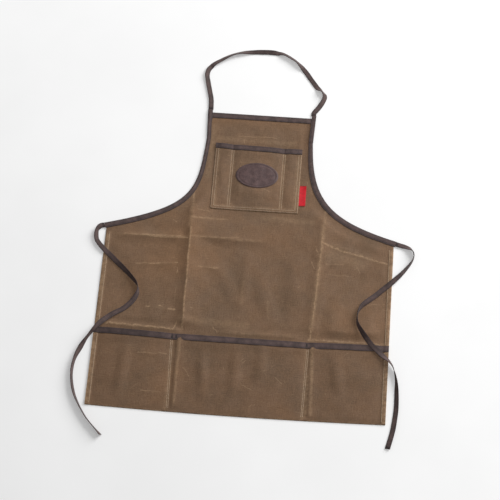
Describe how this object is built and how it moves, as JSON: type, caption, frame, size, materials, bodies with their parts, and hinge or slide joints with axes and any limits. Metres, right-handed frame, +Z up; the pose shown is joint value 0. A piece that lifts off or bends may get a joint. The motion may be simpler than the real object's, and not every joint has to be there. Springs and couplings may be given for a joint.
{
  "type": "grill apron",
  "caption": "Waxed-canvas grill apron laid flat, with tape-bound armholes, a neck strap, waist ties, a divided lower pocket and a chest pocket that carries an oval leather patch.",
  "frame": {"origin": "on the surface the apron lies on, under the middle of the box round the body, pockets, bindings and neck strap", "axes": "+X to the right across the front, +Y from the hem to the neck strap, +Z up out of the front face"},
  "size_m": [0.8047, 1.1102, 0.0189],
  "materials": {
    "canvas": "waxed brown canvas with lighter wear lines on the folds",
    "tape": "dark brown twill tape",
    "leather": "dark brown pebbled leather with a stitched edge",
    "tag": "red woven satin ribbon"
  },
  "bodies": {
    "root": {"apron_body": "canvas", "lower_pocket": "canvas", "lower_pocket_binding": "tape", "chest_pocket": "canvas", "chest_pocket_binding": "tape", "leather_patch": "leather", "side_tag": "tag", "bib_binding": "tape", "left_armhole_binding": "tape", "right_armhole_binding": "tape", "neck_strap": "tape", "left_waist_tie": "tape", "right_waist_tie": "tape"}
  },
  "joints": []
}
